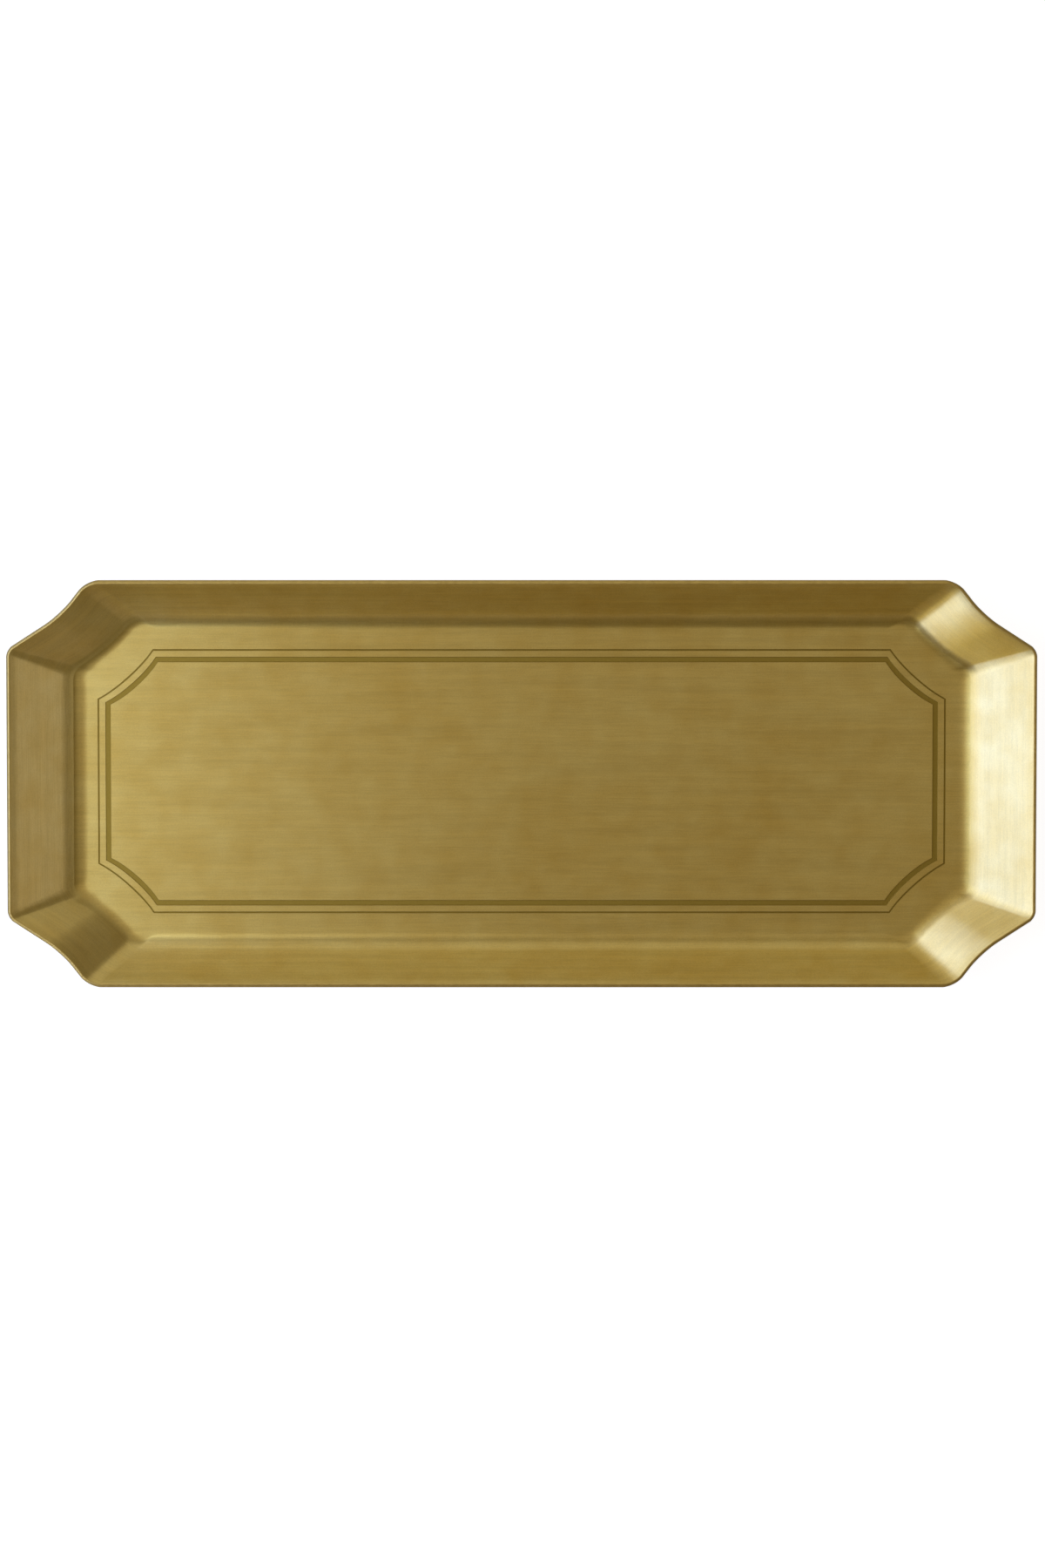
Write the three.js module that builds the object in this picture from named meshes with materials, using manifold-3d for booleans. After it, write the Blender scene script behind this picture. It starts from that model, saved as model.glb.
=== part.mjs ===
// A desk tray pressed from one sheet of brass. Four straight walls lean outwards
// from a flat floor, each corner is cut off and scooped inwards, and a thin and
// a broad line are etched round the floor.
// X runs along the tray, Y across it and Z up. The origin is the middle of the
// underside. Lengths are in millimetres and angles in degrees.
import * as THREE from "three";
import { mergeVertices } from "three/addons/utils/BufferGeometryUtils.js";
import Module from "manifold-3d";

// Overall size
const length = 252; // over the rim, along X
const width = 100; // over the rim, along Y
const height = 12; // underside to the top edge of the rim
const sheet = 1.2; // thickness of the brass

// Walls
const endSlope = 36; // of an end wall, up from the floor
const sideSlope = 50.5; // of a long wall, up from the floor
const endBend = 11; // inside radius between an end wall and the floor
const sideBend = 5.8; // inside radius between the floor and the other walls
const bendEasesFrom = 2; // short of the floor's end tip, along Y
const bendEasesTo = 4; // past it

// Rim corner, drawn on the inner edge of the rim. The cut runs between a tip on
// the end and a tip on the long side, and dips inwards between them.
const rimCutAlong = 19.3; // corner of the rim to the tip on the long side
const rimCutAcross = 16.6; // corner of the rim to the tip on the end
const rimDip = 2.1; // where the two flanks of the scoop meet, in from the cut
const rimScoopRadius = 27.3; // rounds the bottom of the scoop
const rimEndTipRadius = 2.3;
const rimSideTipRadius = 5.5;

// Floor corner, drawn where the planes of the walls would meet the floor
const floorCutAlong = 15;
const floorCutAcross = 13;
const floorDip = 1.1;
const floorScoopRadius = 40;
const floorEndTipRadius = 4;
const floorSideTipRadius = 6;
const deepest = 0.6; // place of the deepest point, from the end tip to the side tip

// Etched border. Its places are those of the middle of the thin line.
const borderFromEnd = 6.3; // in from the foot of an end wall
const borderFromSide = 7.8; // in from the foot of a long wall
const borderCutAlong = 13.5;
const borderCutAcross = 12.1;
const borderDip = 2;
const borderScoopRadius = 38;
const borderDeepest = 0.5;
const thinLine = 0.4; // width of the outer line
const broadLine = 1.3; // width of the inner line
const lineSpacing = 2.36; // middle of the thin line to the middle of the broad one
const etchDepth = 0.2;

// Facets
const sparePart = 10; // an arc leaves a tenth of each line beside it straight
const tipSteps = 6;
const flankSteps = 3;
const scoopSteps = 6;
const bendSteps = 8;

const depth = height - sheet;
const endAngle = THREE.MathUtils.degToRad(endSlope);
const sideAngle = THREE.MathUtils.degToRad(sideSlope);

// The rim is cut square to the sheet, so its inner edge lies in from the outer one.
const rim = {
  halfLength: length / 2 - sheet * Math.sin(endAngle),
  halfWidth: width / 2 - sheet * Math.sin(sideAngle),
  cutAlong: rimCutAlong,
  cutAcross: rimCutAcross,
  dip: rimDip,
  deepest,
  endTip: rimEndTipRadius,
  scoop: rimScoopRadius,
  sideTip: rimSideTipRadius,
};

const foot = {
  halfLength: rim.halfLength - depth / Math.tan(endAngle),
  halfWidth: rim.halfWidth - depth / Math.tan(sideAngle),
  cutAlong: floorCutAlong,
  cutAcross: floorCutAcross,
  dip: floorDip,
  deepest,
  endTip: floorEndTipRadius,
  scoop: floorScoopRadius,
  sideTip: floorSideTipRadius,
};

const border = {
  halfLength: foot.halfLength - borderFromEnd,
  halfWidth: foot.halfWidth - borderFromSide,
  cutAlong: borderCutAlong,
  cutAcross: borderCutAcross,
  dip: borderDip,
  deepest: borderDeepest,
  endTip: 0,
  scoop: borderScoopRadius,
  sideTip: 0,
};

// Points of the arc that rounds the corner at b, where the lines from a and to c
// meet. The arc is limited by the shorter line.
function roundedCorner(a, b, c, radius, steps) {
  const toA = a.clone().sub(b);
  const toC = c.clone().sub(b);
  const half = toA.angleTo(toC) / 2;
  const shorter = Math.min(toA.length(), toC.length());
  const reach = Math.min(radius / Math.tan(half), shorter - shorter / sparePart);
  if (reach === 0) return [b];
  const towards = toA.clone().normalize().add(toC.clone().normalize()).normalize();
  const centre = b.clone().addScaledVector(towards, reach / Math.cos(half));
  const start = b.clone().addScaledVector(toA.normalize(), reach);
  const turn = Math.sign(toC.cross(toA)) * (Math.PI - 2 * half);
  const points = [];
  for (let i = 0; i <= steps; i++) {
    points.push(start.clone().rotateAround(centre, (turn * i) / steps));
  }
  return points;
}

// The points strictly between a and b that divide the line into equal steps.
function between(a, b, steps) {
  const points = [];
  for (let i = 1; i < steps; i++) points.push(a.clone().lerp(b, i / steps));
  return points;
}

// One corner of an outline, from the end of the tray round to its long side.
function cornerOutline(o) {
  const endTip = new THREE.Vector2(o.halfLength, o.halfWidth - o.cutAcross);
  const sideTip = new THREE.Vector2(o.halfLength - o.cutAlong, o.halfWidth);
  const chord = sideTip.clone().sub(endTip);
  const inwards = new THREE.Vector2(-chord.y, chord.x).normalize();
  const dip = endTip.clone().lerp(sideTip, o.deepest).addScaledVector(inwards, o.dip);
  const endMiddle = new THREE.Vector2(o.halfLength, 0);
  const sideMiddle = new THREE.Vector2(0, o.halfWidth);
  const endFlank = endTip.clone().lerp(dip, 1 / 2);
  const sideFlank = sideTip.clone().lerp(dip, 1 / 2);
  const first = roundedCorner(endMiddle, endTip, endFlank, o.endTip, tipSteps);
  const last = roundedCorner(sideFlank, sideTip, sideMiddle, o.sideTip, tipSteps);
  const middle = roundedCorner(first.at(-1), dip, last[0], o.scoop, scoopSteps);
  return [
    ...first,
    ...between(first.at(-1), middle[0], flankSteps),
    ...middle,
    ...between(middle.at(-1), last[0], flankSteps),
    ...last,
  ];
}

// The corner repeated in all four quarters, anticlockwise.
function allRound(corner) {
  const place = (x, y) => corner.map((p) => new THREE.Vector2(p.x * x, p.y * y));
  return [
    ...place(1, 1),
    ...place(-1, 1).reverse(),
    ...place(-1, -1),
    ...place(1, -1).reverse(),
  ];
}

// The outline moved inwards by a distance all round, its cuts and arcs kept parallel.
function insetOutline(o, distance) {
  const square = 1 / o.cutAlong + 1 / o.cutAcross;
  const slanted = Math.hypot(1 / o.cutAlong, 1 / o.cutAcross);
  const share = 1 - distance * (square - slanted);
  return {
    ...o,
    halfLength: o.halfLength - distance,
    halfWidth: o.halfWidth - distance,
    cutAlong: o.cutAlong * share,
    cutAcross: o.cutAcross * share,
    scoop: o.scoop + distance,
  };
}

// The bend radius at a point of the foot. It eases from the end wall's to the
// other walls' round the end tip.
function bendAt(point) {
  const endTip = foot.halfWidth - foot.cutAcross;
  const share = THREE.MathUtils.smoothstep(
    Math.abs(point.y),
    endTip - bendEasesFrom,
    endTip + bendEasesTo,
  );
  return THREE.MathUtils.lerp(endBend, sideBend, share);
}

// The inner face as rings of points, from the edge of the flat floor to the rim,
// each with the direction that the wall climbs in.
function innerRings() {
  const top = allRound(cornerOutline(rim));
  const base = allRound(cornerOutline(foot));
  const count = base.length;
  const rings = Array.from({ length: bendSteps + 2 }, () => []);
  for (let i = 0; i < count; i++) {
    const out = top[i].clone().sub(base[i]);
    const run = out.length();
    out.normalize();
    const edge = base[(i + 1) % count].clone().sub(base[(i + count - 1) % count]);
    const facing = new THREE.Vector2(edge.y, -edge.x).normalize();
    const skew = out.dot(facing);
    const slope = Math.atan2(depth, run * skew);
    const bend = bendAt(base[i]);
    const reach = bend * Math.tan(slope / 2);
    for (let k = 0; k <= bendSteps; k++) {
      const turned = (slope * k) / bendSteps;
      const along = (bend * Math.sin(turned) - reach) / skew;
      const rise = bend * (1 - Math.cos(turned));
      rings[k].push(ringPoint(base[i], out, along, sheet + rise, turned, skew));
    }
    rings[bendSteps + 1].push(ringPoint(base[i], out, run, height, slope, skew));
  }
  return rings;
}

// A point on the inner face, and the direction up the wall from there.
function ringPoint(base, out, along, z, turned, skew) {
  const at = new THREE.Vector3(base.x + out.x * along, base.y + out.y * along, z);
  const flat = Math.cos(turned) / skew;
  const climb = new THREE.Vector3(out.x * flat, out.y * flat, Math.sin(turned));
  return { at, climb };
}

// The outer face of one ring: each point moved square through the sheet.
function outerRing(ring) {
  const count = ring.length;
  return ring.map(({ at, climb }, i) => {
    const onwards = ring[(i + 1) % count].at.clone();
    onwards.sub(ring[(i + count - 1) % count].at);
    const outwards = onwards.cross(climb).normalize();
    return at.clone().addScaledVector(outwards, sheet);
  });
}

// A closed body from rings of equally many points and a flat cap on each end.
function skin(rings) {
  const count = rings[0].length;
  const positions = rings.flat().flatMap((p) => p.toArray());
  const faces = [];
  for (let r = 0; r + 1 < rings.length; r++) {
    for (let i = 0; i < count; i++) {
      const next = (i + 1) % count;
      const a = r * count + i;
      const b = r * count + next;
      const c = a + count;
      const d = b + count;
      faces.push(a, c, b, b, c, d);
    }
  }
  const lastRing = (rings.length - 1) * count;
  const cap = (ring) => THREE.ShapeUtils.triangulateShape(
    ring.map((p) => new THREE.Vector2(p.x, p.y)),
    [],
  );
  for (const [a, b, c] of cap(rings[0])) faces.push(a, b, c);
  for (const [a, b, c] of cap(rings.at(-1))) {
    faces.push(lastRing + a, lastRing + c, lastRing + b);
  }
  const geometry = new THREE.BufferGeometry();
  geometry.setAttribute("position", new THREE.Float32BufferAttribute(positions, 3));
  geometry.setIndex(faces);
  return geometry;
}

// What the etch takes out for one line, as a flat-bottomed channel.
function etchedChannel(distance, lineWidth) {
  const loop = (inset) => allRound(cornerOutline(insetOutline(border, inset)));
  const shape = new THREE.Shape(loop(distance - lineWidth / 2));
  shape.holes.push(new THREE.Path(loop(distance + lineWidth / 2)));
  const channel = new THREE.ExtrudeGeometry(shape, {
    depth: 2 * etchDepth,
    bevelEnabled: false,
  });
  return channel.translate(0, 0, sheet - etchDepth);
}

const wasm = await Module();
wasm.setup();

// A geometry as a solid that can be joined and cut.
function toSolid(geometry) {
  const bare = geometry.clone();
  bare.deleteAttribute("normal");
  bare.deleteAttribute("uv");
  const merged = mergeVertices(bare);
  return new wasm.Manifold(
    new wasm.Mesh({
      numProp: 3,
      vertProperties: merged.attributes.position.array,
      triVerts: new Uint32Array(merged.index.array),
    }),
  );
}

// A solid back as a geometry.
function toGeometry(solid) {
  const mesh = solid.getMesh();
  const geometry = new THREE.BufferGeometry();
  geometry.setAttribute("position", new THREE.BufferAttribute(mesh.vertProperties, 3));
  geometry.setIndex(new THREE.BufferAttribute(mesh.triVerts, 1));
  geometry.computeVertexNormals();
  return geometry;
}

const brass = new THREE.MeshStandardMaterial({
  color: 0xb0924f,
  metalness: 1,
  roughness: 0.4,
});

function makeTray() {
  const inner = innerRings();
  const outer = inner.map(outerRing).reverse();
  const pressed = toSolid(skin([...inner.map((ring) => ring.map((p) => p.at)), ...outer]));
  const thin = toSolid(etchedChannel(0, thinLine));
  const broad = toSolid(etchedChannel(lineSpacing, broadLine));
  const tray = new THREE.Mesh(toGeometry(pressed.subtract(thin).subtract(broad)), brass);
  tray.name = "tray";
  return tray;
}

const object = new THREE.Group();
object.add(makeTray());

export default object;
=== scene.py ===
"""A desk tray pressed from one sheet of brushed brass, in a plain pale studio.

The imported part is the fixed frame. Its one solid is replaced by a finer mesh of
the same sheet, whose length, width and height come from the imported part's box.
The tray's other sizes follow the part, in millimetres and degrees.
"""

import logging
import math
from collections.abc import Iterable, Sequence
from dataclasses import dataclass, replace
from enum import IntEnum

import bmesh
import bpy
from mathutils import Matrix, Vector


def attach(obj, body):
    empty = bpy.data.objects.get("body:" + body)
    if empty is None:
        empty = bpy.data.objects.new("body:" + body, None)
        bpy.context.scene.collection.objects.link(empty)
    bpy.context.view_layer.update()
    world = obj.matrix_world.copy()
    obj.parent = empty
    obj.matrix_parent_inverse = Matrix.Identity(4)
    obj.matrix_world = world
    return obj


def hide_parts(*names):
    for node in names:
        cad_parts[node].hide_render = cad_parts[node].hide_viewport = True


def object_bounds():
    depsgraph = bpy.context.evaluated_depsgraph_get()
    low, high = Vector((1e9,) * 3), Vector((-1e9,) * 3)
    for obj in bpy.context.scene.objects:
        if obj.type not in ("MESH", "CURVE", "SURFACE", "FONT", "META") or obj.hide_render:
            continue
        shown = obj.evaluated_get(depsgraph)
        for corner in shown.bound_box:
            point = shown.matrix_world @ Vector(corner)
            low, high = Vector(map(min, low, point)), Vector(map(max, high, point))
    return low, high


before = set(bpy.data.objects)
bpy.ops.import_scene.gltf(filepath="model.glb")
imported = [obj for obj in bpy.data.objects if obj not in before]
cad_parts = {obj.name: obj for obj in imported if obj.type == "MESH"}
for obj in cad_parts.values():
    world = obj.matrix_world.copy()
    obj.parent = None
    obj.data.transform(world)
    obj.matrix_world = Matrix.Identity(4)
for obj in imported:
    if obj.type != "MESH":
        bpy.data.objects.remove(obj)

CAD_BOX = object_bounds()
MM = 0.001
BRUSH_MAP = "brush"
MIX_A, MIX_B, MIX_RESULT = 6, 7, 2  # the colour sockets of a Mix node

log = logging.getLogger("tray")


def to_linear(hex_colour: str) -> tuple[float, float, float, float]:
    """Turns an sRGB hex colour into linear light.

    Args:
        hex_colour: A colour such as "#d8b36a".

    Returns:
        Red, green, blue and an alpha of 1.
    """
    digits = hex_colour.lstrip("#")
    shares = [int(digits[i : i + 2], 16) / 255 for i in (0, 2, 4)]
    linear = [s / 12.92 if s <= 0.04045 else ((s + 0.055) / 1.055) ** 2.4 for s in shares]
    return (*linear, 1.0)


def add_node(
    tree: bpy.types.NodeTree,
    kind: str,
    inputs: dict[str | int, object] | None = None,
    **settings: object,
) -> bpy.types.Node:
    """Adds a shader node with its settings and links.

    Args:
        tree: The node tree that it goes into.
        kind: The node's type without "ShaderNode", such as "TexNoise".
        inputs: What each socket takes, by name or number. An output socket is
            linked and anything else is set.
        settings: The node's own properties, by name.

    Returns:
        The new node.
    """
    node = tree.nodes.new("ShaderNode" + kind)
    for name, value in settings.items():
        setattr(node, name, value)
    for key, value in (inputs or {}).items():
        if isinstance(value, bpy.types.NodeSocket):
            tree.links.new(value, node.inputs[key])
        else:
            node.inputs[key].default_value = value
    return node


class Zone(IntEnum):
    """The parts of the sheet that have a finish of their own, by material slot."""

    FACE = 0
    ETCH = 1
    EDGE = 2


@dataclass(frozen=True)
class BrushedBrass:
    """Yellow brass sheet, brushed with a fine belt and lacquered.

    The belt leaves hair-fine parallel lines. To the eye they draw each highlight
    out across the lines and keep it fairly sharp along them. Between them the
    sheet keeps the fine grain that it was rolled with. The metal has yellowed
    unevenly under the lacquer, in soft cloudy patches.

    Attributes:
        name: What the finish is called.
        bright: The metal's colour where it is still bright.
        yellowed: Its colour where it has yellowed.
        shades: What the darkest and the lightest lines multiply that colour by.
        roughness: How dull it is.
        roughness_spread: How much duller or shinier a line may be.
        anisotropy: How far highlights spread across the lines.
        across_lines: The turn from the lines to that spread, as a share of a
            whole turn.
        lacquer: How strongly the lacquer shines over the metal.
        lacquer_roughness: How dull the lacquer is.
        line_mm: The spacing of the brush lines. Real ones are near 0.05 mm, and
            these are drawn coarser to show.
        line_length_mm: How long a line runs.
        line_detail: How many finer layers lie over the lines.
        line_depth_mm: How deep the lines are.
        band_mm: The spacing of the broader bands that the belt leaves.
        band_length_mm: How long a band runs.
        band_detail: How many finer layers lie over the bands.
        streak_breaks: How strongly the finer layers break lines and bands up.
        grain_mm: The size of the rolled grain.
        cloud_mm: The size of the cloudy patches.
        mottle_mm: The size of the smaller patches in them.
        patch_detail: How many finer layers lie over grain and patches.
        relief: How strongly the lines show as relief.
        two_patterns: The least and the most that two patterns add up to.
    """

    name: str = "brushed brass"
    bright: str = "#ece096"
    yellowed: str = "#dec873"
    shades: tuple[float, float] = (0.93, 1.07)
    roughness: float = 0.34
    roughness_spread: float = 0.015
    anisotropy: float = 0.64
    across_lines: float = 0.25
    lacquer: float = 0.3
    lacquer_roughness: float = 0.2
    line_mm: float = 0.28
    line_length_mm: float = 7.0
    line_detail: float = 3.0
    line_depth_mm: float = 0.04
    band_mm: float = 1.8
    band_length_mm: float = 50.0
    band_detail: float = 2.0
    streak_breaks: float = 0.6
    grain_mm: float = 0.4
    cloud_mm: float = 38.0
    mottle_mm: float = 7.0
    patch_detail: float = 4.0
    relief: float = 0.25
    two_patterns: tuple[float, float] = (0.6, 1.4)

    def material(self) -> bpy.types.Material:
        """Makes the material, whose lines follow the brush map."""
        made = bpy.data.materials.new(self.name)
        made.use_nodes = True
        tree = made.node_tree
        shader = tree.nodes["Principled BSDF"]
        lines = self._streaks(tree, self.line_length_mm, self.line_mm, self.line_detail)
        bands = self._streaks(tree, self.band_length_mm, self.band_mm, self.band_detail)
        clouds = self._patches(tree, self.cloud_mm, self.mottle_mm)
        grain = self._patches(tree, self.grain_mm, self.grain_mm / 2)
        brushed = self._blend(tree, lines, bands)
        shade = self._blend(tree, brushed, grain, self.shades)
        metal = add_node(
            tree,
            "Mix",
            {"Factor": clouds, MIX_A: to_linear(self.bright), MIX_B: to_linear(self.yellowed)},
            data_type="RGBA",
        ).outputs[MIX_RESULT]
        coloured = add_node(
            tree,
            "Mix",
            {"Factor": 1.0, MIX_A: metal, MIX_B: shade},
            data_type="RGBA",
            blend_type="MULTIPLY",
        ).outputs[MIX_RESULT]
        limits = (self.roughness - self.roughness_spread, self.roughness + self.roughness_spread)
        rough = self._blend(tree, lines, clouds, limits)
        depth = self.line_depth_mm * MM
        bump = add_node(
            tree, "Bump", {"Height": brushed, "Strength": self.relief, "Distance": depth}
        )
        tangent = add_node(tree, "Tangent", direction_type="UV_MAP", uv_map=BRUSH_MAP)
        shader.inputs["Metallic"].default_value = 1.0
        shader.inputs["Anisotropic"].default_value = self.anisotropy
        shader.inputs["Anisotropic Rotation"].default_value = self.across_lines
        shader.inputs["Coat Weight"].default_value = self.lacquer
        shader.inputs["Coat Roughness"].default_value = self.lacquer_roughness
        tree.links.new(coloured, shader.inputs["Base Color"])
        tree.links.new(rough, shader.inputs["Roughness"])
        tree.links.new(bump.outputs["Normal"], shader.inputs["Normal"])
        tree.links.new(tangent.outputs["Tangent"], shader.inputs["Tangent"])
        return made

    def _streaks(
        self, tree: bpy.types.NodeTree, length_mm: float, width_mm: float, detail: float
    ) -> bpy.types.NodeSocket:
        """Draws brush lines of a length and width.

        Args:
            tree: The material's nodes.
            length_mm: How long a line runs before it fades.
            width_mm: The spacing of the lines.
            detail: How many finer layers are laid over them.

        Returns:
            A factor from 0 to 1, around a half.
        """
        place = add_node(tree, "UVMap", uv_map=BRUSH_MAP).outputs["UV"]
        scale = (1 / (length_mm * MM), 1 / (width_mm * MM), 1.0)
        stretched = add_node(tree, "Mapping", {"Vector": place, "Scale": scale})
        noise = add_node(
            tree,
            "TexNoise",
            {
                "Vector": stretched.outputs[0],
                "Scale": 1.0,
                "Detail": detail,
                "Roughness": self.streak_breaks,
            },
            noise_dimensions="2D",
        )
        return noise.outputs["Fac"]

    def _patches(
        self, tree: bpy.types.NodeTree, coarse_mm: float, fine_mm: float
    ) -> bpy.types.NodeSocket:
        """Lays soft patches of two sizes over the whole sheet.

        Args:
            tree: The material's nodes.
            coarse_mm: The size of the larger patches.
            fine_mm: The size of the smaller ones.

        Returns:
            A factor from 0 to 1, around a half.
        """
        place = add_node(tree, "TexCoord").outputs["Object"]
        layers = []
        for size_mm in (coarse_mm, fine_mm):
            noise = add_node(
                tree,
                "TexNoise",
                {"Vector": place, "Scale": 1 / (size_mm * MM), "Detail": self.patch_detail},
            )
            layers.append(noise.outputs["Fac"])
        return self._blend(tree, *layers)

    def _blend(
        self,
        tree: bpy.types.NodeTree,
        first: bpy.types.NodeSocket,
        second: bpy.types.NodeSocket,
        limits: tuple[float, float] = (0.0, 1.0),
    ) -> bpy.types.NodeSocket:
        """Blends two patterns evenly and spreads the result.

        Args:
            tree: The material's nodes.
            first: A pattern around a half.
            second: Another.
            limits: What the lowest and the highest places become.

        Returns:
            The spread pattern.
        """
        total = add_node(tree, "Math", {0: first, 1: second}, operation="ADD").outputs[0]
        spread = add_node(
            tree,
            "MapRange",
            {
                "Value": total,
                "From Min": self.two_patterns[0],
                "From Max": self.two_patterns[1],
                "To Min": limits[0],
                "To Max": limits[1],
            },
        )
        return spread.outputs[0]


@dataclass(frozen=True)
class GrainedBrass:
    """Brass with an even grain, which has no direction.

    Attributes:
        name: What the finish is called.
        low: The colour where the grain is low.
        high: The colour where it is high.
        roughness: How dull it is.
        grain_mm: The size of the grain.
        detail: How many finer layers it has.
        relief: How strongly it shows as relief.
        depth_mm: How deep that relief is.
    """

    name: str
    low: str
    high: str
    roughness: float
    grain_mm: float
    detail: float
    relief: float
    depth_mm: float = 0.05

    def material(self) -> bpy.types.Material:
        """Makes the material, whose grain is fixed to the object."""
        made = bpy.data.materials.new(self.name)
        made.use_nodes = True
        tree = made.node_tree
        shader = tree.nodes["Principled BSDF"]
        place = add_node(tree, "TexCoord").outputs["Object"]
        grain = add_node(
            tree,
            "TexNoise",
            {"Vector": place, "Scale": 1 / (self.grain_mm * MM), "Detail": self.detail},
        ).outputs["Fac"]
        metal = add_node(
            tree,
            "Mix",
            {"Factor": grain, MIX_A: to_linear(self.low), MIX_B: to_linear(self.high)},
            data_type="RGBA",
        ).outputs[MIX_RESULT]
        depth = self.depth_mm * MM
        bump = add_node(tree, "Bump", {"Height": grain, "Strength": self.relief, "Distance": depth})
        shader.inputs["Metallic"].default_value = 1.0
        shader.inputs["Roughness"].default_value = self.roughness
        tree.links.new(metal, shader.inputs["Base Color"])
        tree.links.new(bump.outputs["Normal"], shader.inputs["Normal"])
        return made


@dataclass(frozen=True)
class EtchedLine(GrainedBrass):
    """Brass eaten back by acid and darkened.

    The acid leaves a fine even grain, so the line is duller than the brushed
    metal round it and has no direction.
    """

    name: str = "etched brass"
    low: str = "#a28e3c"
    high: str = "#b29e4a"
    roughness: float = 0.48
    grain_mm: float = 0.5
    detail: float = 3.0
    relief: float = 0.3


@dataclass(frozen=True)
class CutEdge(GrainedBrass):
    """The sheet's sheared edge, with its arrises rubbed off.

    It isn't brushed or lacquered, so it is a deeper gold, with dull nicks along it.
    """

    name: str = "rubbed brass edge"
    low: str = "#ecd67e"
    high: str = "#c8b060"
    roughness: float = 0.5
    grain_mm: float = 1.4
    detail: float = 5.0
    relief: float = 0.2


@dataclass(frozen=True)
class Outline:
    """An oblong with cut corners, each scooped inwards between two tips, in mm.

    The tips and scoops are rounded by bevelling the vertices of a flat face.

    Attributes:
        half_length: Half its length.
        half_width: Half its width.
        cut_along: What each cut takes off a long side.
        cut_across: What each cut takes off an end.
        dip: How far a scoop dips in from a straight cut.
        deepest: Where it is deepest, as a share of the way from the end tip.
        end_radius: The radius of the tip at the end.
        scoop_radius: The radius of the scoop.
        side_radius: The radius of the tip at the long side.
        tip_steps: How many edges round a tip.
        scoop_steps: How many edges round a scoop.
        flank_cuts: How many cuts divide each straight stretch beside a scoop.
        longest_reach: The most that an arc may take up of a line beside it.
        same_mm: Places closer than this are one place.
    """

    half_length: float
    half_width: float
    cut_along: float
    cut_across: float
    dip: float
    deepest: float
    end_radius: float = 0.0
    scoop_radius: float = 0.0
    side_radius: float = 0.0
    tip_steps: int = 10
    scoop_steps: int = 14
    flank_cuts: int = 4
    longest_reach: float = 0.9
    same_mm: float = 1e-3

    def inset(self, distance: float) -> "Outline":
        """Returns the outline moved inwards all round by a distance in mm."""
        square = 1 / self.cut_along + 1 / self.cut_across
        slanted = math.hypot(1 / self.cut_along, 1 / self.cut_across)
        share = 1 - distance * (square - slanted)
        return replace(
            self,
            half_length=self.half_length - distance,
            half_width=self.half_width - distance,
            cut_along=self.cut_along * share,
            cut_across=self.cut_across * share,
            scoop_radius=self.scoop_radius + distance,
        )

    def points(self) -> list[Vector]:
        """Works the outline out.

        Returns:
            Its points anticlockwise in mm at height 0, from the first after +X.
        """
        shape = bmesh.new()
        end_tip, dip, side_tip = self._corners()
        verts = []
        for x, y in ((1, 1), (-1, 1), (-1, -1), (1, -1)):
            # A quarter mirrored once runs the other way round.
            order = (end_tip, dip, side_tip) if x * y > 0 else (side_tip, dip, end_tip)
            verts += [shape.verts.new((x * p.x, y * p.y, 0.0)) for p in order]
        shape.faces.new(verts)
        on_end = end_tip - Vector((0.0, self.half_width, 0.0))
        on_side = side_tip - Vector((self.half_length, 0.0, 0.0))
        end_reach = self._reach(on_end, end_tip, end_tip.lerp(dip, 0.5), self.end_radius)
        side_reach = self._reach(side_tip.lerp(dip, 0.5), side_tip, on_side, self.side_radius)
        end_stop = end_tip + (dip - end_tip).normalized() * end_reach
        side_stop = side_tip + (dip - side_tip).normalized() * side_reach
        scoop_reach = self._reach(end_stop, dip, side_stop, self.scoop_radius)
        self._round(shape, end_tip, end_reach, self.tip_steps)
        self._round(shape, side_tip, side_reach, self.tip_steps)
        self._round(shape, dip, scoop_reach, self.scoop_steps)
        if self.end_radius and self.side_radius:
            self._divide_flanks(shape)
        loop = [vert.co.copy() for vert in self._loop(shape)]
        shape.free()
        return loop

    def _corners(self) -> list[Vector]:
        """Returns the end tip, the dip and the side tip of the first quarter."""
        end_tip = Vector((self.half_length, self.half_width - self.cut_across, 0.0))
        side_tip = Vector((self.half_length - self.cut_along, self.half_width, 0.0))
        chord = side_tip - end_tip
        inwards = Vector((-chord.y, chord.x, 0.0)).normalized()
        dip = end_tip.lerp(side_tip, self.deepest) + inwards * self.dip
        return [end_tip, dip, side_tip]

    def _loop(self, shape: bmesh.types.BMesh) -> list[bmesh.types.BMVert]:
        """Returns a flat face's vertices anticlockwise, from the first after +X."""
        face = max(shape.faces, key=lambda f: f.calc_area())
        loop = [corner.vert for corner in face.loops]
        if face.normal.z < 0:
            loop.reverse()
        turns = [math.atan2(vert.co.y, vert.co.x) % math.tau for vert in loop]
        first = turns.index(min(turns))
        return loop[first:] + loop[:first]

    def _divide_flanks(self, shape: bmesh.types.BMesh) -> None:
        """Divides the straight stretches beside each scoop, where the tips are round.

        The wall's faces there are then about as long as those round the arcs.

        Args:
            shape: The mesh that holds the flat face.
        """
        loop = self._loop(shape)
        quarter = len(loop) // 4
        flanks = []
        for start in range(0, len(loop), quarter):
            before = start + self.tip_steps
            after = before + self.scoop_steps + 1
            for place in (before, after):
                flanks.append(shape.edges.get((loop[place], loop[place + 1])))
        bmesh.ops.subdivide_edges(shape, edges=flanks, cuts=self.flank_cuts)

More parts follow.
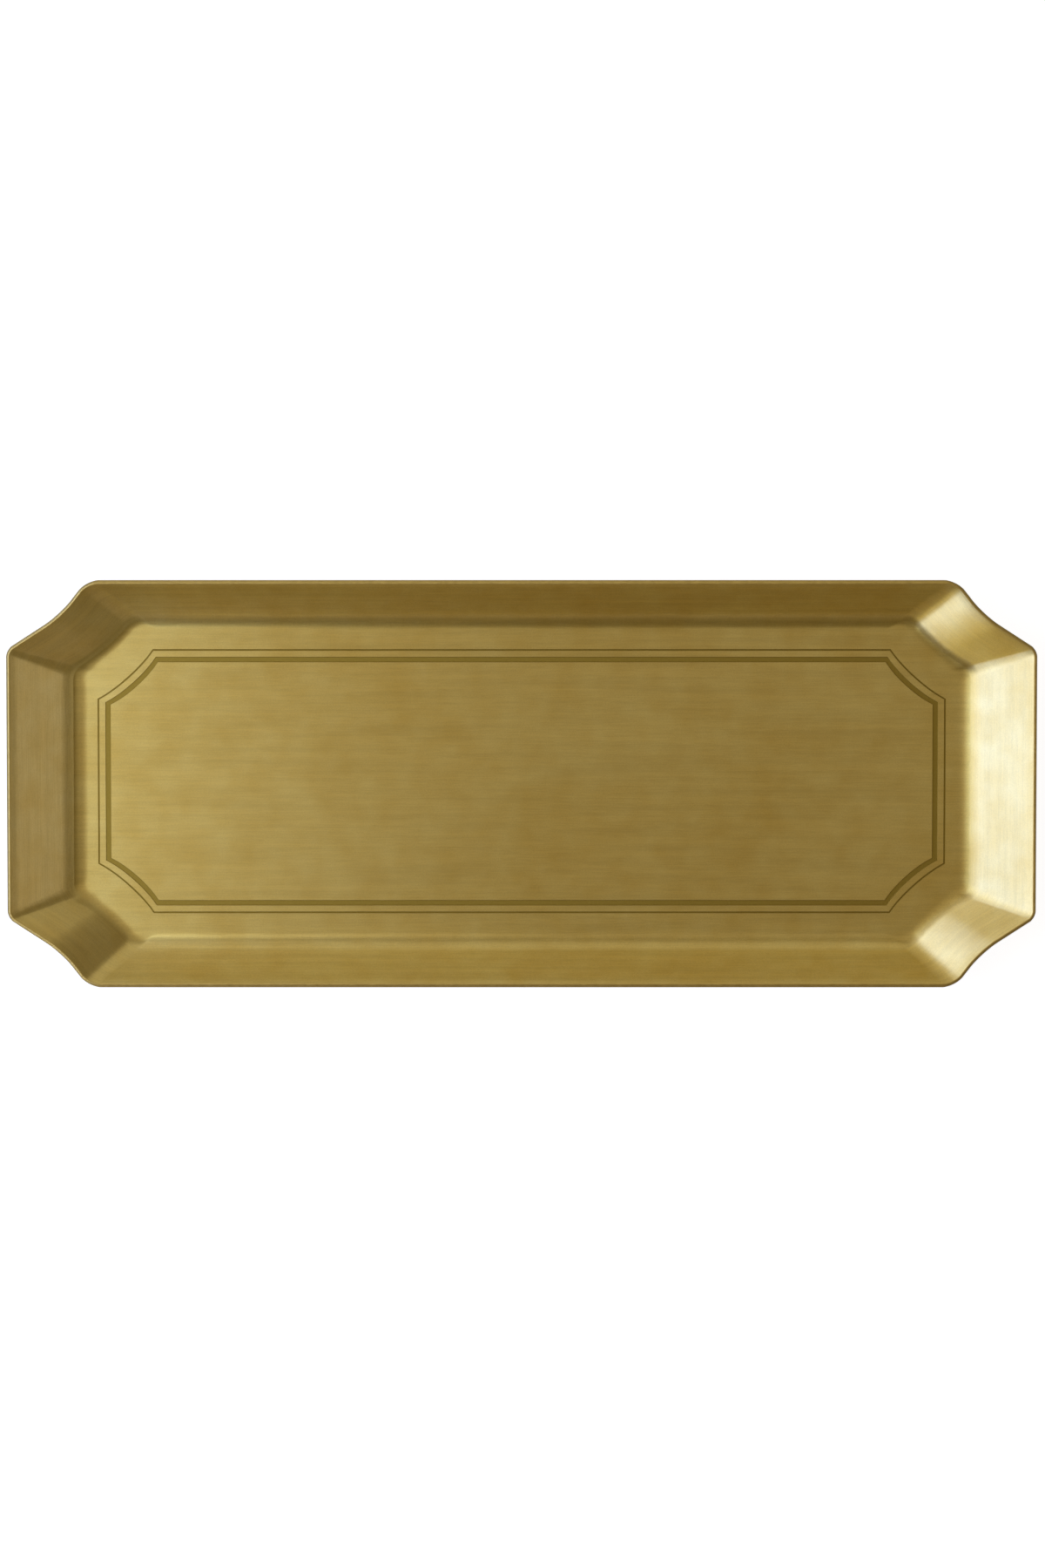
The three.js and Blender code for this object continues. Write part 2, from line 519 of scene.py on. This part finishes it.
    def _reach(self, before: Vector, corner: Vector, after: Vector, radius: float) -> float:
        """Returns how far an arc of a radius reaches along the lines beside it."""
        lines = (before - corner, after - corner)
        half = lines[0].angle(lines[1]) / 2
        longest = self.longest_reach * min(line.length for line in lines)
        return min(radius / math.tan(half), longest)

    def _round(
        self, shape: bmesh.types.BMesh, corner: Vector, reach: float, steps: int
    ) -> None:
        """Rounds a corner of the flat face and its mirrors, where there is a reach.

        Args:
            shape: The mesh that holds the face.
            corner: The corner in the first quarter.
            reach: How far the arc reaches along the lines beside it.
            steps: How many edges make the arc.
        """
        if reach <= 0:
            return
        mirrors = [
            vert
            for vert in shape.verts
            if abs(abs(vert.co.x) - corner.x) < self.same_mm
            and abs(abs(vert.co.y) - corner.y) < self.same_mm
        ]
        bmesh.ops.bevel(
            shape,
            geom=mirrors,
            offset=reach,
            offset_type="OFFSET",
            segments=steps,
            profile=0.5,
            affect="VERTICES",
            material=-1,
        )


@dataclass(frozen=True)
class Station:
    """One place on the way round the tray, where the sheet is seen in section.

    Attributes:
        foot: Where the wall's plane would meet the floor.
        out: The level direction from there to the rim.
        run: The level distance to the rim.
        skew: How squarely that direction crosses the foot, 1 where it is square.
        slope: The wall's true slope, in radians.
        bend: The inside radius between floor and wall.
    """

    foot: Vector
    out: Vector
    run: float
    skew: float
    slope: float
    bend: float


@dataclass(frozen=True)
class SectionPoint:
    """One point of the inner face in section.

    Attributes:
        level: The level distance out from the foot, square to it.
        rise: The height over the floor.
        slope: The sheet's slope there, in radians.
    """

    level: float
    rise: float
    slope: float


@dataclass(frozen=True)
class PressedTray:
    """The whole tray: one sheet, pressed, cut square at the rim and etched.

    Lengths are in millimetres and slopes in degrees. A pair gives the ends first
    and the long sides second, or what a cut takes off along and across the tray.

    Attributes:
        length: The tray's length.
        width: Its width.
        height: Its height.
        sheet: The thickness of the sheet.
        end_slope: The slope of the end walls.
        side_slope: The slope of the long walls.
        end_bend: The inside radius at the foot of the end walls.
        side_bend: The inside radius at the foot of all other walls.
        bend_eases: Where one radius starts and stops easing into the other,
            across the tray from the end tip.
        rim_cut: What each cut corner takes off the rim.
        rim_dip: How far a scoop dips in at the rim.
        rim_radii: The rim's radii at the end tip, the scoop and the side tip.
        foot_cut: What each cut corner takes off the foot of the walls.
        foot_dip: How far a scoop dips in at the foot.
        foot_radii: The foot's radii, in the rim's order.
        deepest: Where a scoop is deepest, as a share of the way from the end tip.
        border_inset: How far in from the foot the thin line's middle runs.
        border_cut: What each cut corner takes off that line.
        border_dip: How far its scoops dip in.
        border_deepest: Where they are deepest.
        border_scoop: Their radius.
        thin_line: The width of the outer etched line.
        broad_line: The width of the inner one.
        line_spacing: How far apart their middles are.
        etch_depth: How deep they are.
        etch_side: How far their sides lean.
        arris: How far the rim's two sharp edges are rubbed back.
        arris_steps: How many faces round each of them.
        crease: The turn between two faces that still shades smooth.
        bend_rows: How many rows of faces climb the bend.
        wall_rows: How many climb the wall over it.
        first_wall_row: The lowest ring that is brushed along the side.
        margin: How much flat floor the first row of faces takes.
    """

    length: float
    width: float
    height: float
    sheet: float = 1.2
    end_slope: float = 36.0
    side_slope: float = 50.5
    end_bend: float = 11.0
    side_bend: float = 5.8
    bend_eases: tuple[float, float] = (-2.0, 4.0)
    rim_cut: tuple[float, float] = (19.3, 16.6)
    rim_dip: float = 2.1
    rim_radii: tuple[float, float, float] = (2.3, 27.3, 5.5)
    foot_cut: tuple[float, float] = (15.0, 13.0)
    foot_dip: float = 1.1
    foot_radii: tuple[float, float, float] = (4.0, 40.0, 6.0)
    deepest: float = 0.6
    border_inset: tuple[float, float] = (6.3, 7.8)
    border_cut: tuple[float, float] = (13.5, 12.1)
    border_dip: float = 2.0
    border_deepest: float = 0.5
    border_scoop: float = 38.0
    thin_line: float = 0.4
    broad_line: float = 1.3
    line_spacing: float = 2.36
    etch_depth: float = 0.2
    etch_side: float = 0.1
    arris: float = 0.28
    arris_steps: int = 4
    crease: float = 32.0
    bend_rows: int = 14
    wall_rows: int = 5
    first_wall_row: int = 8
    margin: float = 0.5

    def build(self) -> bpy.types.Object:
        """Makes the tray's mesh.

        Returns:
            The object, at the origin and in metres, with its brush map.
        """
        bm = bmesh.new()
        inner, outer = self._skins()
        places = inner + outer[::-1]
        rings = [self._first_ring(bm, places[0])]
        for place in places[1:]:
            rings.append(self._extrude_ring(bm, rings[-1], place))
        self._map_walls(bm, rings, places)
        rim = (rings[len(inner) - 1], rings[len(inner)])
        for face in self._faces_between(*rim):
            face.material_index = Zone.EDGE
        self._floor(bm, rings[0])
        self._fill(bm, [rings[-1]], (0.0, 0.0, -1.0))
        self._map_flat(bm)
        self._rub_arrises(bm, rim)
        bmesh.ops.recalc_face_normals(bm, faces=bm.faces)
        bmesh.ops.scale(bm, vec=(MM, MM, MM), verts=bm.verts)
        mesh = bpy.data.meshes.new("pressed_tray")
        bm.to_mesh(mesh)
        bm.free()
        mesh.shade_smooth()
        mesh.set_sharp_from_angle(angle=math.radians(self.crease))
        piece = bpy.data.objects.new("pressed_tray", mesh)
        bpy.context.scene.collection.objects.link(piece)
        return piece

    def dress(self, piece: bpy.types.Object) -> None:
        """Gives each zone its finish and joins the tray to the frame."""
        for finish in (BrushedBrass(), EtchedLine(), CutEdge()):
            piece.data.materials.append(finish.material())
        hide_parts("tray")
        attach(piece, "root")

    @property
    def depth(self) -> float:
        """The well's depth, from the rim to the top of the floor."""
        return self.height - self.sheet

    def _rim_outline(self) -> Outline:
        """Returns the inner edge of the rim, in from the outer by the cut edge."""
        slopes = (math.radians(self.end_slope), math.radians(self.side_slope))
        return Outline(
            self.length / 2 - self.sheet * math.sin(slopes[0]),
            self.width / 2 - self.sheet * math.sin(slopes[1]),
            *self.rim_cut,
            self.rim_dip,
            self.deepest,
            *self.rim_radii,
        )

    def _foot_outline(self) -> Outline:
        """Returns where the planes of the walls would meet the floor."""
        rim = self._rim_outline()
        return Outline(
            rim.half_length - self.depth / math.tan(math.radians(self.end_slope)),
            rim.half_width - self.depth / math.tan(math.radians(self.side_slope)),
            *self.foot_cut,
            self.foot_dip,
            self.deepest,
            *self.foot_radii,
        )

    def _border_outline(self) -> Outline:
        """Returns the middle of the thin etched line."""
        foot = self._foot_outline()
        return Outline(
            foot.half_length - self.border_inset[0],
            foot.half_width - self.border_inset[1],
            *self.border_cut,
            self.border_dip,
            self.border_deepest,
            scoop_radius=self.border_scoop,
        )

    def _stations(self) -> list[Station]:
        """Pairs each point of the foot with its point of the rim."""
        top = self._rim_outline().points()
        base = self._foot_outline().points()
        stations = []
        for i, foot in enumerate(base):
            edge = base[(i + 1) % len(base)] - base[i - 1]
            facing = Vector((edge.y, -edge.x, 0.0)).normalized()
            out = top[i] - foot
            run = out.length
            out.normalize()
            skew = out.dot(facing)
            slope = math.atan2(self.depth, run * skew)
            stations.append(Station(foot, out, run, skew, slope, self._bend(foot)))
        return stations

    def _bend(self, foot: Vector) -> float:
        """Returns the bend radius at a point of the foot.

        It eases from the end wall's to the other walls' round the end tip.
        """
        end_tip = self._foot_outline().half_width - self.foot_cut[1]
        start, stop = (end_tip + ease for ease in self.bend_eases)
        share = min(max((abs(foot.y) - start) / (stop - start), 0.0), 1.0)
        eased = share * share * (3 - 2 * share)
        return self.end_bend + (self.side_bend - self.end_bend) * eased

    def _section(self, station: Station) -> list[SectionPoint]:
        """Draws the inner face at a station, from the floor up to the rim."""
        reach = station.bend * math.tan(station.slope / 2)
        points = [SectionPoint(-reach - self.margin, 0.0, 0.0)]
        for k in range(self.bend_rows + 1):
            turned = station.slope * k / self.bend_rows
            level = station.bend * math.sin(turned) - reach
            points.append(SectionPoint(level, station.bend * (1 - math.cos(turned)), turned))
        start = points[-1]
        end_level = station.run * station.skew
        for k in range(1, self.wall_rows + 1):
            share = k / self.wall_rows
            level = start.level + (end_level - start.level) * share
            rise = start.rise + (self.depth - start.rise) * share
            points.append(SectionPoint(level, rise, station.slope))
        return points

    def _skins(self) -> tuple[list[list[Vector]], list[list[Vector]]]:
        """Places the rings of both faces of the sheet.

        Returns:
            The inner face's rings from the floor up to the rim, and the outer
            face's rings in the same order.
        """
        stations = self._stations()
        sections = [self._section(station) for station in stations]
        inner, outer = [], []
        for row in zip(*sections):
            ring = []
            for station, point in zip(stations, row):
                place = station.foot + station.out * (point.level / station.skew)
                place.z = self.sheet + point.rise
                ring.append(place)
            inner.append(ring)
            outer.append(self._through_sheet(ring, stations, row))
        return inner, outer

    def _through_sheet(
        self, ring: Sequence[Vector], stations: Sequence[Station], row: Sequence[SectionPoint]
    ) -> list[Vector]:
        """Moves a ring of the inner face square through the sheet.

        Args:
            ring: The ring.
            stations: The places round the tray.
            row: The ring's point in the section at each of them.

        Returns:
            The matching ring of the outer face.
        """
        moved = []
        for i, (place, station, point) in enumerate(zip(ring, stations, row)):
            onwards = ring[(i + 1) % len(ring)] - ring[i - 1]
            climb = station.out * (math.cos(point.slope) / station.skew)
            climb.z = math.sin(point.slope)
            moved.append(place + onwards.cross(climb).normalized() * self.sheet)
        return moved

    @staticmethod
    def _first_ring(
        bm: bmesh.types.BMesh, places: Iterable[Vector]
    ) -> list[bmesh.types.BMVert]:
        """Makes a closed ring of edges through the places."""
        verts = [bm.verts.new(place) for place in places]
        for a, b in zip(verts, verts[1:] + verts[:1]):
            bm.edges.new((a, b))
        return verts

    @staticmethod
    def _ring_edges(
        bm: bmesh.types.BMesh, ring: Sequence[bmesh.types.BMVert]
    ) -> list[bmesh.types.BMEdge]:
        """Returns the edges that join a ring's vertices in turn."""
        pairs = zip(ring, [*ring[1:], ring[0]])
        return [bm.edges.get(pair) for pair in pairs]

    def _extrude_ring(
        self,
        bm: bmesh.types.BMesh,
        ring: Sequence[bmesh.types.BMVert],
        places: Sequence[Vector],
    ) -> list[bmesh.types.BMVert]:
        """Extrudes a ring and brings the new one to its places.

        Args:
            bm: The mesh.
            ring: The ring to extrude.
            places: Where the new ring's vertices go, in the same order.

        Returns:
            The new ring.
        """
        made = bmesh.ops.extrude_edge_only(bm, edges=self._ring_edges(bm, ring))["geom"]
        fresh = {item for item in made if isinstance(item, bmesh.types.BMVert)}
        following = []
        for vert, place in zip(ring, places):
            joined = (edge.other_vert(vert) for edge in vert.link_edges)
            new = next(other for other in joined if other in fresh)
            new.co = place
            following.append(new)
        return following

    @staticmethod
    def _faces_between(
        lower: Iterable[bmesh.types.BMVert], upper: Iterable[bmesh.types.BMVert]
    ) -> set[bmesh.types.BMFace]:
        """Returns the faces that lie between two rings."""
        below = {face for vert in lower for face in vert.link_faces}
        above = {face for vert in upper for face in vert.link_faces}
        return below & above

    def _fill(
        self,
        bm: bmesh.types.BMesh,
        rings: Iterable[Sequence[bmesh.types.BMVert]],
        normal: tuple[float, float, float],
    ) -> None:
        """Fills the flat space that one ring holds, or that lies between two.

        Args:
            bm: The mesh.
            rings: The one or two rings.
            normal: Which way the new faces look.
        """
        edges = [edge for ring in rings for edge in self._ring_edges(bm, ring)]
        bmesh.ops.triangle_fill(bm, use_beauty=True, edges=edges, normal=normal)

    def _floor(self, bm: bmesh.types.BMesh, edge: Sequence[bmesh.types.BMVert]) -> None:
        """Fills the floor and sinks the two etched lines into it.

        Args:
            bm: The mesh.
            edge: The ring that bounds the flat floor.
        """
        upwards = (0.0, 0.0, 1.0)
        outside = edge
        for inset, line in ((0.0, self.thin_line), (self.line_spacing, self.broad_line)):
            outer, inner = self._etch(bm, inset, line)
            self._fill(bm, [outside, outer], upwards)
            outside = inner
        self._fill(bm, [outside], upwards)

    def _etch(
        self, bm: bmesh.types.BMesh, inset: float, line: float
    ) -> tuple[list[bmesh.types.BMVert], list[bmesh.types.BMVert]]:
        """Makes one etched line: two leaning sides and a flat bottom.

        Args:
            bm: The mesh.
            inset: How far in from the thin line's middle this one's middle is.
            line: Its width.

        Returns:
            Its outer and its inner edge.
        """
        border = self._border_outline()
        top = line / 2
        bottom = top - self.etch_side
        profile = (
            (-top, 0.0),
            (-bottom, self.etch_depth),
            (bottom, self.etch_depth),
            (top, 0.0),
        )
        rings = []
        before = set(bm.faces)
        for offset, drop in profile:
            places = border.inset(inset + offset).points()
            for place in places:
                place.z = self.sheet - drop
            if rings:
                rings.append(self._extrude_ring(bm, rings[-1], places))
            else:
                rings.append(self._first_ring(bm, places))
        for face in set(bm.faces) - before:
            face.material_index = Zone.ETCH
        return rings[0], rings[-1]

    def _map_walls(
        self,
        bm: bmesh.types.BMesh,
        rings: Sequence[Sequence[bmesh.types.BMVert]],
        places: Sequence[Sequence[Vector]],
    ) -> None:
        """Maps the walls and the tops of their bends, with U along the tray's sides.

        Args:
            bm: The mesh, which holds the rings only.
            rings: Its rings, from the floor over the rim to the underside.
            places: Their places.
        """
        layer = bm.loops.layers.uv.new(BRUSH_MAP)
        along = places[self.first_wall_row]
        around = [0.0]
        for a, b in zip(along, along[1:] + along[:1]):
            around.append(around[-1] + (b - a).length)
        inner = places[: len(places) // 2]
        heights = [0.0]
        for lower, upper in zip(inner, inner[1:]):
            heights.append(heights[-1] + (upper[0] - lower[0]).length)
        # Past the rim, the outer face runs on with the inner one's spacing.
        heights += [2 * heights[-1] + self.sheet - height for height in heights[::-1]]
        walls = range(self.first_wall_row, len(rings) - self.first_wall_row)
        where = {vert: (i, heights[row]) for row in walls for i, vert in enumerate(rings[row])}
        last = len(along) - 1
        for face in bm.faces:
            if not all(vert in where for vert in face.verts):
                continue
            spans_seam = {where[vert][0] for vert in face.verts} >= {0, last}
            for loop in face.loops:
                i, height = where[loop.vert]
                turn = last + 1 if spans_seam and i == 0 else i
                loop[layer].uv = (around[turn] * MM, height * MM)

    def _map_flat(self, bm: bmesh.types.BMesh) -> None:
        """Maps the rest from above: the floor, the feet of the bends, the underside."""
        layer = bm.loops.layers.uv[BRUSH_MAP]
        for face in bm.faces:
            loops = list(face.loops)
            if all(loop[layer].uv.length == 0 for loop in loops):
                for loop in loops:
                    loop[layer].uv = loop.vert.co.xy * MM

    def _rub_arrises(
        self, bm: bmesh.types.BMesh, rim: Iterable[Sequence[bmesh.types.BMVert]]
    ) -> None:
        """Rounds the two sharp edges of the rim."""
        edges = [edge for ring in rim for edge in self._ring_edges(bm, ring)]
        bmesh.ops.bevel(
            bm,
            geom=edges,
            offset=self.arris,
            offset_type="OFFSET",
            segments=self.arris_steps,
            profile=0.5,
            affect="EDGES",
            material=Zone.EDGE,
        )


@dataclass(frozen=True)
class SoftPanel:
    """A large soft light, given by its two level edges.

    Attributes:
        name: What it is.
        top: The middle of its upper edge, in metres.
        bottom: The middle of its lower edge.
        width: The length of those edges.
        radiance: Its brightness, where 1 is white.
        colour: Its colour.
    """

    name: str
    top: tuple[float, float, float]
    bottom: tuple[float, float, float]
    width: float
    radiance: float
    colour: str

    def hang(self) -> bpy.types.Object:
        """Makes the light, which faces the tray and isn't seen by the camera."""
        top, bottom = Vector(self.top), Vector(self.bottom)
        rise, centre = top - bottom, (top + bottom) / 2
        lamp = bpy.data.lights.new(self.name, "AREA")
        lamp.shape = "RECTANGLE"
        lamp.size, lamp.size_y = self.width, rise.length
        lamp.energy = self.radiance * math.pi * self.width * rise.length
        lamp.color = to_linear(self.colour)[:3]
        up = rise.normalized()
        back = (centre - up * centre.dot(up)).normalized()
        turned = Matrix((up.cross(back), up, back)).transposed().to_4x4()
        made = bpy.data.objects.new(self.name, lamp)
        made.matrix_world = Matrix.Translation(centre) @ turned
        made.visible_camera = False
        bpy.context.scene.collection.objects.link(made)
        return made


PANELS = (
    SoftPanel("high left panel", (-0.063, 0.0, 0.6), (-0.17, 0.0, 0.58), 0.4, 0.22, "#ffe9c0"),
    SoftPanel("left panel", (-0.17, 0.0, 0.58), (-0.335, 0.0, 0.47), 0.4, 1.2, "#f4faff"),
    SoftPanel("high window", (-0.335, 0.0, 0.47), (-0.485, 0.0, 0.35), 0.4, 2.55, "#c8cbff"),
    SoftPanel("window", (-0.485, 0.0, 0.35), (-0.8, 0.0, 0.12), 1.65, 3.5, "#a4b5ff"),
    SoftPanel("near left card", (-0.75, -0.75, 0.35), (-0.75, -0.75, 0.03), 0.8, 1.1, "#ffefb8"),
    SoftPanel("far left card", (-0.6, 0.6, 0.8), (-0.75, 0.75, 0.35), 0.7, 0.83, "#fff8fc"),
    SoftPanel("ceiling panel", (0.0, 1.3, 2.2), (0.0, -0.45, 2.2), 2.0, 0.29, "#ffead0"),
    SoftPanel("right card", (1.0, 0.0, 0.35), (1.0, 0.0, 0.1), 0.8, 1.32, "#fff1fd"),
    SoftPanel("near right card", (0.75, -0.75, 0.4), (0.75, -0.75, 0.05), 0.8, 0.14, "#ffedea"),
    SoftPanel("far right card", (0.75, 0.75, 0.4), (0.75, 0.75, 0.05), 0.8, 0.14, "#ffedea"),
    SoftPanel("far card", (0.0, 1.0, 0.9), (0.0, 1.0, 0.1), 1.2, 0.44, "#fff1de"),
    SoftPanel("near card", (0.0, -1.0, 0.35), (0.0, -1.0, 0.1), 1.2, 0.24, "#ffe4de"),
)


@dataclass(frozen=True)
class Studio:
    """The floor, the soft lights and the camera, nearly straight above the tray.

    Attributes:
        camera_distance: From the camera to the tray's rim, in metres.
        camera_lean: How far the camera leans towards the far side, in degrees.
        frame_pixels: The height of the frame in pixels.
        pixel_mm: What a pixel measures at the rim.
        aim_mm: Where the camera aims, right of the tray's middle and beyond it.
        panels: The soft lights.
        room: The colour of the dim room round them.
        paper: The colour of the floor.
        paper_lift: How much white the floor gains for the camera.
        floor_reach: How far the floor reaches each way, in metres.
        floor_gap_mm: How far it lies under the tray, so that the two don't touch.
    """

    camera_distance: float = 1.4
    camera_lean: float = 4.0
    frame_pixels: float = 1800.0
    pixel_mm: float = 0.2128
    aim_mm: tuple[float, float] = (0.2, 0.1)
    panels: tuple[SoftPanel, ...] = PANELS
    room: str = "#655639"
    paper: str = "#a0a0a0"
    paper_lift: float = 0.92
    floor_reach: float = 12.0
    floor_gap_mm: float = 0.2

    def set_camera(self, target: Vector) -> None:
        """Sets the camera above a point, leaning a little towards the far side.

        Args:
            target: The middle of the rim, which lies a hair off the frame's middle.
        """
        lean = math.radians(self.camera_lean)
        camera = bpy.data.cameras.new("camera")
        # The sensor's width lies along the frame's longer side, its height.
        view_height = self.frame_pixels * self.pixel_mm * MM
        camera.lens = camera.sensor_width * self.camera_distance / view_height
        made = bpy.data.objects.new("camera", camera)
        away = Vector((0.0, math.sin(lean), math.cos(lean)))
        aim = target + Vector((*self.aim_mm, 0.0)) * MM
        made.location = aim + away * self.camera_distance
        made.rotation_euler = (-lean, 0.0, 0.0)
        bpy.context.scene.collection.objects.link(made)
        bpy.context.scene.camera = made

    def light(self) -> None:
        """Hangs the soft panels and lights the room round them dimly."""
        for panel in self.panels:
            panel.hang()
        world = bpy.data.worlds.new("room")
        world.use_nodes = True
        room = world.node_tree.nodes["Background"]
        room.inputs["Color"].default_value = to_linear(self.room)
        bpy.context.scene.world = world

    def lay_floor(self) -> None:
        """Lays a wide pale floor just under the tray."""
        bm = bmesh.new()
        bmesh.ops.create_grid(bm, x_segments=1, y_segments=1, size=self.floor_reach)
        bmesh.ops.translate(bm, verts=bm.verts, vec=(0.0, 0.0, -self.floor_gap_mm * MM))
        mesh = bpy.data.meshes.new("floor")
        bm.to_mesh(mesh)
        bm.free()
        floor = bpy.data.objects.new("floor", mesh)
        floor.data.materials.append(self._pale_paper())
        bpy.context.scene.collection.objects.link(floor)

    def _pale_paper(self) -> bpy.types.Material:
        """Makes matt paper, lifted to white for the camera alone."""
        made = bpy.data.materials.new("pale paper")
        made.use_nodes = True
        tree = made.node_tree
        tree.nodes.remove(tree.nodes["Principled BSDF"])
        seen = add_node(tree, "LightPath").outputs["Is Camera Ray"]
        lift = add_node(
            tree, "Math", {0: seen, 1: self.paper_lift}, operation="MULTIPLY"
        ).outputs[0]
        white = add_node(tree, "Emission", {"Color": to_linear("#ffffff"), "Strength": lift})
        paper = add_node(tree, "BsdfDiffuse", {"Color": to_linear(self.paper)})
        both = add_node(tree, "AddShader", {0: white.outputs[0], 1: paper.outputs[0]})
        tree.links.new(both.outputs[0], tree.nodes["Material Output"].inputs["Surface"])
        return made


def main() -> None:
    """Builds the studio and the tray, in order, and reports each piece."""
    logging.basicConfig(level=logging.INFO, format="%(message)s")
    bpy.context.scene.view_settings.view_transform = "Standard"
    low, high = CAD_BOX
    size = (high - low) / MM
    studio = Studio()
    studio.set_camera(Vector((0.0, 0.0, high.z)))
    studio.light()
    studio.lay_floor()
    tray = PressedTray(size.x, size.y, size.z)
    piece = tray.build()
    tray.dress(piece)
    log.info("%s: %d faces", piece.name, len(piece.data.polygons))


if __name__ == "__main__":
    main()
